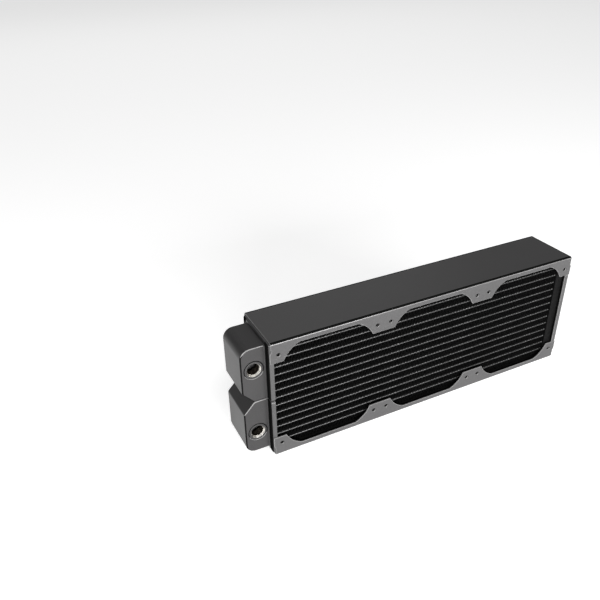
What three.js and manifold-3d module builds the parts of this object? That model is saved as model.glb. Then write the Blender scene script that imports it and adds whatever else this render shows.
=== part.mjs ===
// A thick liquid cooling radiator for three fans in a row, standing on its long edge.
// Millimetres, +Z up. X runs along the length, with the port tanks at -X. The fan side faces -Y.
// The origin is on the underside, below the middle fan, half way through the depth.
import * as THREE from 'three';
import { mergeVertices } from 'three/addons/utils/BufferGeometryUtils.js';
import Module from 'manifold-3d';

const wasm = await Module();
wasm.setup();

// ---- fans that the frame carries
const FAN_SIZE = 120;
const FAN_COUNT = 3;
const HOLE_SPACING = 105;
const HOLE_DIAMETER = 3.5;

// ---- frame: two folded side panels
const FRAME_HEIGHT = 132.6;
const FRAME_DEPTH = 62.4;
const END_MARGIN = 8.5; // outermost fan hole to the panel's end
const PANEL_SHEET = 1.2;
const PANEL_BEND = 2; // outer radius of the folded edges
const STRIP_HEIGHT = 5.7; // flange height between the fan tabs
const TAB_FOOT = 8.1; // fan hole to the tab's free edge
const TAB_SIDE = 5.1; // fan hole to the tab's side at its free edge
const TAB_SHOULDER = 21.7; // fan hole to where the tab's curve runs into the strip
const TAB_CURVE = 30; // radius of that curve
const END_STEP = 1.1; // the panel's corners stop this much short of its tabs
const STEP_RISE = 10.6; // and do so this far from its outer face

// ---- core: flat tubes with folded fins between them
const TUBE_COUNT = 12; // plus a blind one of the same section in the middle
const TUBE_THICKNESS = 1.8;
const TUBE_WALL = 0.2;
const TUBE_STICKOUT = 1.5; // past the face of a tube sheet
const CORE_RECESS = 5.2; // fan face to the tubes' edges
const FIN_INSET = 0.2; // fins end this much behind the tubes' edges
const FIN_FOLDS = 20;
const FIN_SHEET = 0.25; // measured straight up through the slanting sheet
const CORE_PLATE_SHEET = 0.8;
const CORE_PLATE_HEIGHT = 3.6;

// ---- port end: two trays, each with its own tank
const TRAY_SHEET = 1.2;
const TRAY_DEPTH = 5.3; // along X
const TRAY_EDGE = 1.2; // rounding of the tray's outer edges
const TRAY_CORNER = 2;
const TRAY_PROUD = 1; // past the panels' ends
const SHEET_THICKNESS = 1.2; // tube sheets
const TANK_WALL = 1.5;
const TANK_LENGTH = 24.5;
const TANK_DEPTH = 43.8;
const TANK_EDGE = 0.8;
const TANK_TOP_INSET = 5.5; // frame's edge to the tank's outer end
const TANK_CORNER = 10;
const WAIST_RUN = 11.2; // slope between the tanks, along X
const WAIST_RISE = 12.2; // and along Z
const WAIST_ROUND = 2.5;
const MOUTH_MARGIN = 1.4; // tray's mouth inside the tank's walls
const SPLIT_GAP = 0.4; // between the upper and the lower half

// ---- ports
const PORT_HEIGHT = 36.9; // above and below the middle of the frame
const PORT_INSET = 12.8; // tank's end face to the port's axis
const PORT_BORE = 11.6; // crests of the G1/4 thread
const PORT_MOUTH = 16; // wide end of the countersink
const PORT_COLLAR = 18.4;
const PORT_LENGTH = 10;
const PORT_SINK = 1.8;
const COLLAR_PROUD = 0.2;
const COLLAR_CHAMFER = 0.4;

// ---- far end
const FAR_SPACE = 14.8; // panel's end to the tube sheet's core side
const RETURN_ROOM = 0.4; // inside the return tank, past the tubes' edges
const RETURN_EDGE = 2;
const RETURN_CORNER = 3;
const BRACKET_SHEET = 1.2;
const BRACKET_FLANGE = 5.6;
const BRACKET_BEND = 1.5;

// ---- clearances
const SEAM = 0.1; // soldered faces that lie on each other
const SLOT_GAP = 0.25; // tube in its slot
const COLLAR_GAP = 0.4; // groove round a port collar
const END_GAP = 0.4; // fins to what closes the core's ends, and bracket to the tabs

// ---- smoothness
const ARC_STEPS = 5;
const TAB_STEPS = 8;
const HOLE_SIDES = 12;
const PORT_SIDES = 32;
const OVERSHOOT = 3; // how far a cutter runs past what it cuts

// ---- worked out from the above
const MID_Z = FRAME_HEIGHT / 2;
const FACE_Y = FRAME_DEPTH / 2;
const HOLE = HOLE_SPACING / 2;
const PANEL_END = ((FAN_COUNT - 1) * FAN_SIZE + HOLE_SPACING) / 2 + END_MARGIN;
const FAN_CENTRES = Array.from({ length: FAN_COUNT }, (_, i) => (i - (FAN_COUNT - 1) / 2) * FAN_SIZE);

const NEST = PANEL_SHEET + SEAM; // from a panel's outside to what lies against its inside

const TRAY_LEFT = -PANEL_END - TRAY_PROUD;
const TRAY_RIGHT = TRAY_LEFT + TRAY_DEPTH;
const TRAY_Y = FACE_Y - NEST;
const TRAY_TOP = MID_Z - NEST; // above the split, as the other heights of the port end
const HALF_GAP = SPLIT_GAP / 2;

const TANK_RIGHT = TRAY_LEFT - SEAM;
const TANK_LEFT = TRAY_LEFT - TANK_LENGTH;
const TANK_TOP = MID_Z - TANK_TOP_INSET;
const TANK_Y = TANK_DEPTH / 2;
const PORT_X = TANK_LEFT + PORT_INSET;

const NEAR_SHEET_LEFT = TRAY_RIGHT - SEAM - SHEET_THICKNESS;
const FAR_SHEET_LEFT = PANEL_END - FAR_SPACE;
const FAR_SHEET_RIGHT = FAR_SHEET_LEFT + SHEET_THICKNESS;
const BRACKET_INNER = PANEL_END - BRACKET_SHEET;

const CORE_Y = FACE_Y - CORE_RECESS;
const RETURN_Y = CORE_Y + RETURN_ROOM + TRAY_SHEET;
const CORE_PLATE_TOP = MID_Z - NEST; // above the middle of the frame
const CORE_TOP = CORE_PLATE_TOP - CORE_PLATE_HEIGHT;
const FIN_ROWS = TUBE_COUNT + 2;
const TUBE_PITCH = (2 * CORE_TOP - (TUBE_COUNT + 1) * TUBE_THICKNESS) / FIN_ROWS + TUBE_THICKNESS;
const TUBES_A_SIDE = TUBE_COUNT / 2;

// ---- geometry helpers

// Directions that a flat outline's first axis, second axis and thickness take in the model.
const ALONG_Y = new THREE.Matrix4().makeBasis(
  new THREE.Vector3(1, 0, 0), new THREE.Vector3(0, 0, 1), new THREE.Vector3(0, -1, 0));
const ALONG_X = new THREE.Matrix4().makeBasis(
  new THREE.Vector3(0, 1, 0), new THREE.Vector3(0, 0, 1), new THREE.Vector3(1, 0, 0));

function shapeOf(points) {
  return new THREE.Shape(points.map(([u, v]) => new THREE.Vector2(u, v)));
}

// Points of a polygon whose corners [u, v, radius] are rounded where they have a radius.
function rounded(corners, steps = ARC_STEPS) {
  return corners.flatMap(([u, v, radius = 0], i) => {
    const here = new THREE.Vector2(u, v);
    if (radius <= 0) return [[u, v]];
    const [back, ahead] = [corners.at(i - 1), corners[(i + 1) % corners.length]]
      .map(([nu, nv]) => new THREE.Vector2(nu, nv).sub(here).normalize());
    const half = Math.acos(THREE.MathUtils.clamp(back.dot(ahead), -1, 1)) / 2;
    const middle = back.clone().add(ahead).normalize();
    const centre = here.clone().addScaledVector(middle, radius / Math.sin(half));
    const start = here.clone().addScaledVector(back, radius / Math.tan(half)).sub(centre);
    const turn = Math.sign(back.cross(ahead)) * (Math.PI - 2 * half);
    return Array.from({ length: steps + 1 }, (_, k) => {
      const spoke = start.clone().rotateAround(new THREE.Vector2(), (-turn * k) / steps);
      return [centre.x + spoke.x, centre.y + spoke.y];
    });
  });
}

function rectangle(u0, u1, v0, v1, radius = 0) {
  return [[u0, v0, radius], [u1, v0, radius], [u1, v1, radius], [u0, v1, radius]];
}

// An outline in X and Z made solid between two depths, its edges rounded by edge.
function slabY(points, y0, y1, edge = 0) {
  const geometry = new THREE.ExtrudeGeometry(shapeOf(points), bevelled(y1 - y0, edge));
  return geometry.translate(0, 0, edge).applyMatrix4(ALONG_Y).translate(0, y1, 0);
}

// An outline in Y and Z made solid between two places along the length.
function slabX(points, x0, x1, edge = 0) {
  const geometry = new THREE.ExtrudeGeometry(shapeOf(points), bevelled(x1 - x0, edge));
  return geometry.translate(0, 0, edge).applyMatrix4(ALONG_X).translate(x0, 0, 0);
}

function bevelled(length, edge) {
  return {
    depth: length - 2 * edge, steps: 1, bevelEnabled: edge > 0,
    bevelThickness: edge, bevelSize: edge, bevelOffset: -edge, bevelSegments: 2,
  };
}

function box(x0, x1, y0, y1, z0, z1) {
  const geometry = new THREE.BoxGeometry(x1 - x0, y1 - y0, z1 - z0);
  return geometry.translate((x0 + x1) / 2, (y0 + y1) / 2, (z0 + z1) / 2);
}

// A round bar along Y, from y0 to y1.
function barY(x, z, diameter, y0, y1, sides) {
  const geometry = new THREE.CylinderGeometry(diameter / 2, diameter / 2, y1 - y0, sides);
  return geometry.translate(x, (y0 + y1) / 2, z);
}

function toSolid(geometry) {
  const bare = geometry.clone();
  bare.deleteAttribute('normal');
  bare.deleteAttribute('uv');
  const merged = mergeVertices(bare, 1e-4);
  return new wasm.Manifold(new wasm.Mesh({
    numProp: 3,
    vertProperties: new Float32Array(merged.attributes.position.array),
    triVerts: new Uint32Array(merged.index.array),
  }));
}

function toGeometry(solid) {
  const { vertProperties, triVerts } = solid.getMesh();
  const geometry = new THREE.BufferGeometry();
  geometry.setAttribute('position', new THREE.BufferAttribute(vertProperties, 3));
  geometry.setIndex(new THREE.BufferAttribute(triVerts, 1));
  geometry.computeVertexNormals();
  return geometry;
}

function cut(base, ...tools) {
  return toGeometry(tools.reduce((solid, tool) => solid.subtract(toSolid(tool)), toSolid(base)));
}

// ---- finishes
const frameBlack = { color: 0x4a4a4b, roughness: 0.5, metalness: 0.3 };
const tankBlack = { color: 0x3f3d3e, roughness: 0.45, metalness: 0.3 };
const trayBlack = { color: 0x1a1a1a, roughness: 0.4, metalness: 0.3 };
const tubeBlack = { color: 0x3a3a3a, roughness: 0.45, metalness: 0.3 };
const finBlack = { color: 0x101010, roughness: 0.6, metalness: 0.2 };
const nickel = { color: 0xc9c7c2, roughness: 0.25, metalness: 1 };

const radiator = new THREE.Group();

function add(name, geometry, finish, parent = radiator) {
  const mesh = new THREE.Mesh(geometry, new THREE.MeshStandardMaterial(finish));
  mesh.name = name;
  parent.add(mesh);
  return mesh;
}

// ---- side panels

// The space left open in front of one fan, between the tabs and the two strips.
function windowPoints(centre) {
  const foot = HOLE - TAB_FOOT;
  const side = HOLE - TAB_SIDE;
  const strip = MID_Z - STRIP_HEIGHT;
  const shoulder = HOLE - TAB_SHOULDER;
  const chord = new THREE.Vector2(shoulder - side, strip - foot);
  const reach = Math.sqrt(TAB_CURVE ** 2 - chord.lengthSq() / 4);
  const inward = new THREE.Vector2(-chord.y, chord.x).normalize();
  const hub = new THREE.Vector2(side, foot).addScaledVector(chord, 0.5).addScaledVector(inward, reach);
  const from = Math.atan2(foot - hub.y, side - hub.x);
  const to = Math.atan2(strip - hub.y, shoulder - hub.x);
  const curve = Array.from({ length: TAB_STEPS + 1 }, (_, k) => {
    const angle = from + ((to - from) * k) / TAB_STEPS;
    return [hub.x + TAB_CURVE * Math.cos(angle), hub.y + TAB_CURVE * Math.sin(angle)];
  });
  const right = [...curve.map(([u, v]) => [u, -v]).reverse(), ...curve];
  const left = right.map(([u, v]) => [-u, v]).reverse();
  return [...right, ...left].map(([u, v]) => [centre + u, MID_Z + v]);
}

// The lower panel: a long tray with a fan tab at each pair of holes on both of its flanges.
function sidePanel() {
  const high = MID_Z - (HOLE - TAB_FOOT);
  const inner = FACE_Y - PANEL_SHEET;
  const section = rounded([
    [-FACE_Y, high], [-FACE_Y, 0, PANEL_BEND], [FACE_Y, 0, PANEL_BEND], [FACE_Y, high],
    [inner, high], [inner, PANEL_SHEET], [-inner, PANEL_SHEET], [-inner, high],
  ]);
  const through = FACE_Y + OVERSHOOT;
  const windows = FAN_CENTRES.map((centre) => slabY(windowPoints(centre), -through, through));
  const holes = FAN_CENTRES.flatMap((centre) => [-HOLE, HOLE].map(
    (side) => barY(centre + side, MID_Z - HOLE, HOLE_DIAMETER, -through, through, HOLE_SIDES)));
  const ends = [-1, 1].map((end) => {
    const edges = [end * (PANEL_END - END_STEP), end * (PANEL_END + OVERSHOOT)].sort((a, b) => a - b);
    return box(...edges, -through, through, -OVERSHOOT, STEP_RISE);
  });
  return cut(slabX(section, -PANEL_END, PANEL_END), ...windows, ...holes, ...ends);
}

const panel = sidePanel();
add('bottom_side_panel', panel, frameBlack);
const topPanel = add('top_side_panel', panel, frameBlack);
topPanel.rotation.x = Math.PI;
topPanel.position.z = FRAME_HEIGHT;

// ---- core

// Outline of a flat tube, or of its slot when grown by a gap, around a height.
function tubeOutline(z, grow) {
  const half = TUBE_THICKNESS / 2 + grow;
  const reach = CORE_Y + grow;
  return rounded(rectangle(-reach, reach, z - half, z + half, half * 0.999), ARC_STEPS);
}

function flatTube(x0, x1) {
  const shape = shapeOf(tubeOutline(0, 0));
  shape.holes.push(new THREE.Path(shapeOf(tubeOutline(0, -TUBE_WALL)).getPoints()));
  const geometry = new THREE.ExtrudeGeometry(shape, { depth: x1 - x0, steps: 1, bevelEnabled: false });
  return geometry.applyMatrix4(ALONG_X).translate(x0, 0, 0);
}

// A strip of sheet folded up and down between two tubes.
function finStrip() {
  const [x0, x1] = [TRAY_RIGHT + END_GAP, FAR_SHEET_LEFT - END_GAP];
  const crest = (TUBE_PITCH - TUBE_THICKNESS) / 2 - SEAM - FIN_SHEET / 2;
  const line = Array.from({ length: 2 * FIN_FOLDS + 1 },
    (_, k) => [x0 + ((x1 - x0) * k) / (2 * FIN_FOLDS), k % 2 ? crest : -crest]);
  const upper = line.map(([x, z]) => [x, z + FIN_SHEET / 2]);
  const lower = line.map(([x, z]) => [x, z - FIN_SHEET / 2]).reverse();
  return slabY([...upper, ...lower], -CORE_Y + FIN_INSET, CORE_Y - FIN_INSET);
}

function tubeSheet(points, x0, rows) {
  const reach = [x0 - OVERSHOOT, x0 + SHEET_THICKNESS + OVERSHOOT];
  const slots = rows.map((z) => slabX(tubeOutline(z, SLOT_GAP), ...reach));
  return cut(slabX(points, x0, x0 + SHEET_THICKNESS), ...slots);
}

// Closes the core above the outer fins, and holds it off the side panel with its two edges.
function corePlate() {
  const rise = CORE_PLATE_HEIGHT;
  const inner = CORE_Y - CORE_PLATE_SHEET;
  const section = [
    [-CORE_Y, SEAM], [CORE_Y, SEAM], [CORE_Y, rise], [inner, rise],
    [inner, CORE_PLATE_SHEET], [-inner, CORE_PLATE_SHEET], [-inner, rise], [-CORE_Y, rise],
  ];
  return slabX(section, TRAY_RIGHT + SEAM, FAR_SHEET_LEFT - SEAM);
}

const core = new THREE.Group();
core.position.z = MID_Z;
radiator.add(core);

const tube = flatTube(NEAR_SHEET_LEFT - TUBE_STICKOUT, FAR_SHEET_RIGHT + TUBE_STICKOUT);
for (let row = 1; row <= TUBES_A_SIDE; row += 1) {
  add(`upper_tube_${row}`, tube, tubeBlack, core).position.z = row * TUBE_PITCH;
  add(`lower_tube_${row}`, tube, tubeBlack, core).position.z = -row * TUBE_PITCH;
}
add('centre_spacer', flatTube(TRAY_RIGHT + SEAM, FAR_SHEET_LEFT - SEAM), tubeBlack, core);

const fins = finStrip();
for (let row = 1; row <= FIN_ROWS / 2; row += 1) {
  add(`upper_fins_${row}`, fins, finBlack, core).position.z = (row - 0.5) * TUBE_PITCH;
  add(`lower_fins_${row}`, fins, finBlack, core).position.z = (0.5 - row) * TUBE_PITCH;
}

const plate = corePlate();
add('top_core_plate', plate, finBlack, core).position.z = CORE_TOP;
const lowerPlate = add('bottom_core_plate', plate, finBlack, core);
lowerPlate.rotation.x = Math.PI;
lowerPlate.position.z = -CORE_TOP;

// ---- port end, upper half with side = 1 and lower half with side = -1

const mirrored = (corners, side) => corners.map(([u, v, radius]) => [u, MID_Z + side * v, radius]);

// The tank seen from the fan side, drawn in by inset. Its open side runs past the tray's face.
function tankOutline(side, inset) {
  const slope = Math.hypot(WAIST_RUN, WAIST_RISE);
  const low = HALF_GAP + inset;
  const left = TANK_LEFT + inset;
  const waist = TANK_LEFT + WAIST_RUN + (inset * (slope - WAIST_RUN)) / WAIST_RISE;
  const shoulder = HALF_GAP + WAIST_RISE + (inset * (slope - WAIST_RISE)) / WAIST_RUN;
  const right = TANK_RIGHT + OVERSHOOT;
  const corner = Math.max(TANK_CORNER - inset, 0);
  return rounded(mirrored([
    [right, low], [waist, low, WAIST_ROUND], [left, shoulder, WAIST_ROUND],
    [left, TANK_TOP - inset, corner], [right, TANK_TOP - inset],
  ], side));
}

function tank(side) {
  const far = TANK_RIGHT + 2 * OVERSHOOT;
  const inside = slabY(tankOutline(side, TANK_WALL), -TANK_Y + TANK_WALL, TANK_Y - TANK_WALL);
  const open = box(TANK_RIGHT, far, -FACE_Y, FACE_Y, 0, FRAME_HEIGHT);
  const hole = barY(PORT_X, MID_Z + side * PORT_HEIGHT, PORT_COLLAR + 2 * COLLAR_GAP,
    -TANK_Y - OVERSHOOT, 0, PORT_SIDES);
  return cut(slabY(tankOutline(side, 0), -TANK_Y, TANK_Y, TANK_EDGE), inside, open, hole);
}

// A shallow pan that spreads the flow over its tubes. The tank stands round its mouth.
function tray(side) {
  const pan = (grow) => {
    const ends = [HALF_GAP - grow, TRAY_TOP + grow].map((v) => MID_Z + side * v).sort((a, b) => a - b);
    return rounded(rectangle(-TRAY_Y - grow, TRAY_Y + grow, ...ends, TRAY_CORNER));
  };
  const mouthInset = TANK_WALL + MOUTH_MARGIN;
  const mouthY = TANK_Y - mouthInset;
  const mouthZ = [HALF_GAP + mouthInset, TANK_TOP - mouthInset]
    .map((v) => MID_Z + side * v)
    .sort((a, b) => a - b);
  const outer = slabX(pan(0), TRAY_LEFT, TRAY_RIGHT + OVERSHOOT, TRAY_EDGE);
  const inside = slabX(pan(-TRAY_SHEET), TRAY_LEFT + TRAY_SHEET, TRAY_RIGHT + 2 * OVERSHOOT);
  const trim = box(TRAY_RIGHT, TRAY_RIGHT + 2 * OVERSHOOT, -FACE_Y, FACE_Y, 0, FRAME_HEIGHT);
  const mouth = slabX(rectangle(-mouthY, mouthY, ...mouthZ), TRAY_LEFT - OVERSHOOT, TRAY_RIGHT);
  return cut(outer, inside, trim, mouth);
}

// Tube sheet of one half, inside its tray's rim.
function nearSheet(side) {
  const rim = TRAY_SHEET + SEAM;
  const ends = [HALF_GAP + rim, TRAY_TOP - rim].map((v) => MID_Z + side * v).sort((a, b) => a - b);
  const rows = Array.from({ length: TUBES_A_SIDE }, (_, i) => MID_Z + side * (i + 1) * TUBE_PITCH);
  const outline = rounded(rectangle(rim - TRAY_Y, TRAY_Y - rim, ...ends, TRAY_CORNER));
  return tubeSheet(outline, NEAR_SHEET_LEFT, rows);
}

// Threaded collar in the tank's fan side face, turned round its own axis, which points at -Y.
function portCollar() {
  const [bore, mouth, outer] = [PORT_BORE / 2, PORT_MOUTH / 2, PORT_COLLAR / 2];
  const profile = [
    [bore, 0], [outer, 0], [outer, PORT_LENGTH - COLLAR_CHAMFER], [outer - COLLAR_CHAMFER, PORT_LENGTH],
    [mouth, PORT_LENGTH], [bore, PORT_LENGTH - PORT_SINK], [bore, 0],
  ].map(([r, along]) => new THREE.Vector2(r, along));
  return toGeometry(toSolid(new THREE.LatheGeometry(profile, PORT_SIDES)));
}

const collar = portCollar();
for (const [half, side] of [['upper', 1], ['lower', -1]]) {
  add(`${half}_tank`, tank(side), tankBlack);
  add(`${half}_tray`, tray(side), trayBlack);
  add(`${half}_tube_sheet`, nearSheet(side), trayBlack);
  const port = add(`${half}_port_collar`, collar, nickel);
  port.rotation.x = Math.PI;
  port.position.set(PORT_X, PORT_LENGTH - TANK_Y - COLLAR_PROUD, MID_Z + side * PORT_HEIGHT);
}

// ---- far end: the flow turns round in one tank behind a bracket

const returnReach = CORE_PLATE_TOP - PANEL_SHEET;
const returnOutline = (inset) => rounded(rectangle(
  inset - RETURN_Y, RETURN_Y - inset,
  MID_Z - returnReach + inset, MID_Z + returnReach - inset, RETURN_CORNER));

function returnTank() {
  const [left, right] = [FAR_SHEET_RIGHT + SEAM, BRACKET_INNER - SEAM];
  const inside = slabX(returnOutline(TRAY_SHEET), left - 2 * OVERSHOOT, right - TRAY_SHEET);
  const open = box(left - 2 * OVERSHOOT, left, -FACE_Y, FACE_Y, 0, FRAME_HEIGHT);
  return cut(slabX(returnOutline(0), left - OVERSHOOT, right, RETURN_EDGE), inside, open);
}

// Flanges level with the fan faces fill the gap between the tabs. The end face runs on behind the tabs.
function endBracket() {
  const left = PANEL_END - BRACKET_FLANGE;
  const inner = FACE_Y - BRACKET_SHEET;
  const between = HOLE - TAB_FOOT - END_GAP;
  const section = rounded([
    [left, -FACE_Y], [PANEL_END, -FACE_Y, BRACKET_BEND], [PANEL_END, FACE_Y, BRACKET_BEND], [left, FACE_Y],
    [left, inner], [BRACKET_INNER, inner], [BRACKET_INNER, -inner], [left, -inner],
  ]);
  const flanged = new THREE.ExtrudeGeometry(shapeOf(section), { depth: 2 * between, bevelEnabled: false });
  flanged.translate(0, 0, MID_Z - between);
  const endFace = box(BRACKET_INNER, PANEL_END, -TRAY_Y, TRAY_Y, MID_Z - TRAY_TOP, MID_Z + TRAY_TOP);
  return toGeometry(toSolid(flanged).add(toSolid(endFace)));
}

const farRows = Array.from({ length: TUBES_A_SIDE }, (_, i) => (i + 1) * TUBE_PITCH)
  .flatMap((height) => [MID_Z + height, MID_Z - height]);
add('far_tube_sheet', tubeSheet(returnOutline(0), FAR_SHEET_LEFT, farRows), trayBlack);
add('return_tank', returnTank(), trayBlack);
add('end_bracket', endBracket(), frameBlack);

export default radiator;
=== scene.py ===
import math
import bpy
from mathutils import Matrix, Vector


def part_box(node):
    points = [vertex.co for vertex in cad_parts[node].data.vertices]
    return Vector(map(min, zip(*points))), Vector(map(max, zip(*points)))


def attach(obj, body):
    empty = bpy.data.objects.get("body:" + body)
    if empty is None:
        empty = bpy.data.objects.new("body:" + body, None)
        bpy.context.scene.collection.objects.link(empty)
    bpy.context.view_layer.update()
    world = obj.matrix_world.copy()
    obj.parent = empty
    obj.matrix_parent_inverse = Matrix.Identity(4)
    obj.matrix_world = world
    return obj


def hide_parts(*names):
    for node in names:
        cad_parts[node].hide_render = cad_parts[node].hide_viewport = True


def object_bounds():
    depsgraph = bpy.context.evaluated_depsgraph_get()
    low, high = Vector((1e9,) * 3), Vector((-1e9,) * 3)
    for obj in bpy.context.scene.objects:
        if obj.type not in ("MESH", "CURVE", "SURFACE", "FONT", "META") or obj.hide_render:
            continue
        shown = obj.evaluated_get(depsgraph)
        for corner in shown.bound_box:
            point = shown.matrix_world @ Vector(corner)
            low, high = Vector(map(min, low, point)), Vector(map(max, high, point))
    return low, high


bl_info = {
    "name": "Liquid Cooling Radiator",
    "version": (1, 0, 0),
    "blender": (4, 5, 0),
    "location": "3D View > Sidebar > Radiator",
    "description": "Makes the visible pieces of a thick three-fan liquid cooling radiator",
    "category": "Object",
}

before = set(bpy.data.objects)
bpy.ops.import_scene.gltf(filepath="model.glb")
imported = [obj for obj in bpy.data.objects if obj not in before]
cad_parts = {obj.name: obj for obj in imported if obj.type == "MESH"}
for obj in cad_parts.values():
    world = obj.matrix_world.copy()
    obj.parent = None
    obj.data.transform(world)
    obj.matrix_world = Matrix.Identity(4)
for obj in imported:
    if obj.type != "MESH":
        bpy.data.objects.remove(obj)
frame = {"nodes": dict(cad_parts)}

import bmesh
import bpy
from bpy.props import FloatProperty, FloatVectorProperty, IntProperty, PointerProperty
from mathutils import Matrix, Quaternion, Vector

CAD_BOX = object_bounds()
MM = 0.001
SIDES = (-1, 1)  # the two ways from a middle
OVERSHOOT = 3 * MM  # how far a cutting tool reaches past a panel
AXIS_GAP = 0.05 * MM  # a turned tool starts this far off its axis, which leaves a thin pin there
TANK_SUNK = 1.2 * MM  # how far a tank runs on past its node, into its tray
FOLD_STEPS = 6  # steps round a fold or a small corner
HOLE_SIDES = 28
RECESS_SIDES = 56
COLLAR_SIDES = 64


def spread(nodes):
    """The lowest and highest corner of several nodes together."""
    boxes = [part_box(node) for node in nodes]
    lowest = [min(low[axis] for low, _ in boxes) for axis in range(3)]
    highest = [max(high[axis] for _, high in boxes) for axis in range(3)]
    return Vector(lowest), Vector(highest)


def heights(low, high, up):
    """A box's heights nearest to the middle and furthest from it, above it (1) or below it (-1)."""
    return (low[2], high[2]) if up > 0 else (high[2], low[2])


def named(*starts):
    return sorted(node for node in frame["nodes"] if node.startswith(starts))


TUBES = [node for node in named("upper_tube_", "lower_tube_", "centre_spacer")
         if not node.endswith("sheet")]
FINS = {"upper": named("upper_fins"), "lower": named("lower_fins")}
MIDDLE_Z = sum(corner[2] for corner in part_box("centre_spacer")) / 2


# ---------------------------------------------------------------- sizes and colours


def length(name, description, default):
    return FloatProperty(name=name, description=description, default=default, min=0.0,
                         precision=5, unit="LENGTH")


def colour(name, description, default):
    return FloatVectorProperty(name=name, description=description, default=default,
                               subtype="COLOR", min=0.0, max=1.0)


class RadiatorPanelSizes(bpy.types.PropertyGroup):
    """Sizes of the two folded side panels."""

    sheet: length("Sheet", "Thickness of the folded sheet", 1.2 * MM)
    bend: length("Bend", "Outer radius of the long folds", 2.0 * MM)
    strip: length("Strip", "Height of the flange between two fan tabs", 5.7 * MM)
    fan: length("Fan", "Distance from one fan to the next", 120 * MM)
    spacing: length("Hole Spacing", "Side of the square of a fan's four holes", 105 * MM)
    hole: length("Hole", "Diameter of a fan hole", 3.5 * MM)
    flare: length("Flare", "Diameter of the pressed ring round a fan hole", 4.8 * MM)
    flare_depth: length("Flare Depth", "How far that ring goes in", 0.45 * MM)
    tab_foot: length("Tab Foot", "Fan hole to the tab's free edge", 8.1 * MM)
    tab_side: length("Tab Side", "Fan hole to the tab's side at its free edge", 5.1 * MM)
    tab_shoulder: length("Tab Shoulder", "Fan hole to where the curve meets the strip", 21.7 * MM)
    tab_curve: length("Tab Curve", "Radius of the curve between tab and strip", 30 * MM)
    end_step: length("End Step", "How far the corners stop short of the tabs", 1.1 * MM)
    step_rise: length("Step Rise", "Height of that step above the outer face", 10.6 * MM)
    # Painted shade: the dark band beside each long fold stands in for the shade just behind the fold.
    fold_shade: length("Fold Line", "Width of the dark paint beside each long fold", 0.8 * MM)
    # These rounded edges take the painted edge highlight.
    edge: length("Edge", "Width of the dulled edge left by the punch", 0.3 * MM)


class RadiatorTankSizes(bpy.types.PropertyGroup):
    """Sizes of the port tanks and of the trays that they stand on."""

    corner: length("Corner", "Radius of a tank's big corner", 10 * MM)
    waist_run: length("Waist Run", "Slope between the tanks, along the length", 11.2 * MM)
    waist_rise: length("Waist Rise", "The same slope, upwards", 12.2 * MM)
    waist_round: length("Waist Round", "Radius at the slope's two ends", 2.5 * MM)
    edge: length("Edge", "Radius of a tank's long edges", 1.6 * MM)
    weld: length("Weld", "Width of the fillet between tank and tray", 1.2 * MM)
    tray_edge: length("Tray Edge", "Radius round a tray's outer face", 2.4 * MM)
    tray_corner: length("Tray Corner", "Radius of a tray's four corners", 2.6 * MM)
    tray_sheet: length("Tray Sheet", "Wall of a tray", 1.2 * MM)
    bracket_bend: length("Bracket Bend", "Radius of the end bracket's folds", 1.5 * MM)


class RadiatorPortSizes(bpy.types.PropertyGroup):
    """Sizes of the threaded collars."""

    bore: length("Bore", "Diameter at the thread's crests", 11.6 * MM)
    root: length("Root", "Diameter at the thread's roots", 13.1 * MM)
    pitch: length("Pitch", "Distance from one thread to the next", 1.337 * MM)
    mouth: length("Mouth", "Wide end of the countersink", 14.6 * MM)
    sink: length("Sink", "Depth of the countersink", 1.9 * MM)
    rim: length("Rim", "Rounding of the collar's outer edge", 0.35 * MM)
    groove: length("Groove", "Gap round a collar", 0.55 * MM)


class RadiatorCoreSizes(bpy.types.PropertyGroup):
    """Sizes of the tubes, the folded fins and the solder between them."""

    nose: length("Nose", "Depth of a flat tube's rounded edge", 1.6 * MM)
    fold: length("Fold", "One full fold of a fin strip", 3.63 * MM)
    fin_sheet: length("Fin Sheet", "Thickness of a fin strip", 0.14 * MM)
    crest: FloatProperty(name="Crest", description="How flat a fold is where it touches a tube",
                         default=1.22, min=1.0, max=3.0)
    bead: length("Bead", "Length of a drop of solder where a fold meets a tube", 1.7 * MM)
    bead_height: length("Bead Height", "How far such a drop stands off the tube", 0.38 * MM)
    seed: IntProperty(name="Seed", description="Chooses how the drops differ", default=7)


class RadiatorFinishes(bpy.types.PropertyGroup):
    """Colours of the paints and metals."""

    frame: colour("Frame Paint", "Powder coat of the panels and the bracket", (0.045, 0.044, 0.0445))
    # Painted highlight: a lighter copy of the frame paint, put on rounded and cut edges where light catches
    # them.
    frame_highlight: colour("Frame Edge", "The same paint, thin on cut edges", (0.20, 0.197, 0.197))
    # Painted shade: this near-black paint goes along folds, in fan holes, on the tanks' left front edges and
    # on the tray walls beside the tanks, where shade falls.
    shadow: colour("Thick Paint", "Dull dark paint along folds and joints", (0.006, 0.006, 0.006))
    tank: colour("Tank Paint", "Powder coat of the tanks", (0.0305, 0.0297, 0.0301))
    tray: colour("Tray Paint", "Paint of the trays' end walls", (0.010, 0.0098, 0.010))
    tube: colour("Tube Paint", "Paint on the tubes", (0.042, 0.042, 0.042))
    # The fins' own dull black paint. The core's inner pieces take it too, as painted shade.
    fin: colour("Fin Paint", "Dull paint inside the core", (0.0045, 0.0045, 0.0045))
    port: colour("Port Metal", "Bare metal of the countersinks", (0.78, 0.76, 0.72))
    thread: colour("Thread", "Dark metal of the threads", (0.010, 0.0085, 0.007))


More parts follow.
